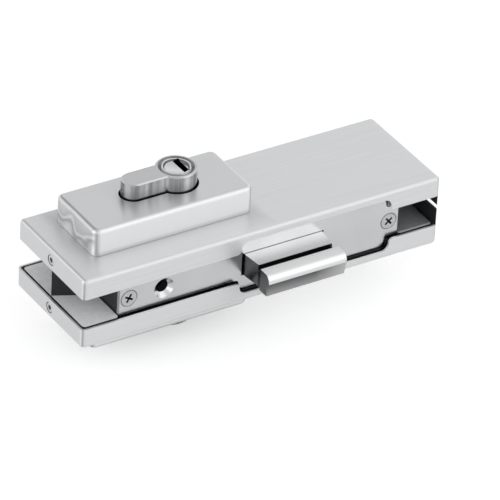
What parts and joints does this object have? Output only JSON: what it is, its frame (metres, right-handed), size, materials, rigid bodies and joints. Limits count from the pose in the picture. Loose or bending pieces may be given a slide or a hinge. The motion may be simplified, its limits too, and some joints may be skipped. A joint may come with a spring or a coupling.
{
  "type": "glass door centre patch lock",
  "caption": "Clamp-on patch lock for a frameless glass door: satin covers, profile cylinder, sliding bolt and glass slot.",
  "frame": {"origin": "middle of the glass slot: mid-length, mid-width and mid-glass, at mount glass_slot", "axes": "+X along the lock's length, -Y out of the door's edge, the way the bolt is thrown, +Z through the glass to the outer side"},
  "size_m": [0.165, 0.0676, 0.07],
  "materials": {
    "satin_stainless": "fine satin, brushed along the lock",
    "polished_stainless": "polished",
    "bolt_stainless": "fine ground",
    "zinc_casting": "plain die-cast",
    "zinc_plated_steel": "bright zinc plate",
    "screw_stainless": "turned",
    "nickel_brass": "satin nickel plate on brass",
    "bare_brass": "turned",
    "spring_steel": "blue-grey temper",
    "cam_steel": "sintered or stamped steel",
    "fibre_pad": "pale grey fibre",
    "black_rubber": "matt"
  },
  "bodies": {
    "lock": {"lock_case": "zinc_casting", "upper_clamp_plate": "zinc_casting", "mechanism_lid": "zinc_plated_steel", "lid_screws": "zinc_plated_steel", "clamp_screws": "zinc_plated_steel", "upper_glass_pads": "fibre_pad", "lower_glass_pads": "fibre_pad", "fascia": "polished_stainless", "fascia_screws": "polished_stainless", "top_cover": "satin_stainless", "bottom_cover": "satin_stainless", "top_cylinder_housing": "satin_stainless", "bottom_cylinder_housing": "satin_stainless", "grub_screws": "screw_stainless", "cylinder_body": "nickel_brass", "cylinder_fixing_screw": "zinc_plated_steel", "driver_pins": "bare_brass", "pin_springs": "spring_steel", "chamber_plugs": "bare_brass", "detent_spring": "spring_steel", "detent_screw": "zinc_plated_steel", "left_edge_buffer": "black_rubber", "right_lower_strip": "black_rubber", "right_upper_strip": "black_rubber"},
    "upper_plug": {"upper_plug": "nickel_brass", "upper_plug_clip": "spring_steel", "upper_key_pins": "bare_brass"},
    "lower_plug": {"lower_plug": "nickel_brass", "lower_plug_clip": "spring_steel", "lower_key_pins": "bare_brass"},
    "cam": {"cam": "cam_steel", "cam_clutch": "cam_steel"},
    "bolt": {"bolt_head": "bolt_stainless", "bolt_tail": "cam_steel", "bolt_rivets": "bolt_stainless"}
  },
  "joints": [
    {"name": "upper_key_turn", "type": "hinge", "parent": "lock", "child": "upper_plug", "pos_m": [-0.0239, 0.0044, 0], "axis": [0, 0, 1], "range_deg": [0, 97.18]},
    {"name": "cam_turn", "type": "hinge", "parent": "lock", "child": "cam", "pos_m": [-0.0239, 0.0044, 0], "axis": [0, 0, 1], "range_deg": [0, 97.18]},
    {"name": "bolt_slide", "type": "slide", "parent": "lock", "child": "bolt", "axis": [0, 1, 0], "range_m": [0, 0.0189], "deforming": ["detent_spring"]},
    {"name": "lower_key_turn", "type": "hinge", "parent": "lock", "child": "lower_plug", "pos_m": [-0.0239, 0.0044, 0], "axis": [0, 0, -1], "continuous": true}
  ],
  "couplings": [
    {"joint": "cam_turn", "follows": "upper_key_turn", "ratio": 1},
    {"joint": "bolt_slide", "follows": "upper_key_turn", "m_per_rad": 0.011143}
  ]
}
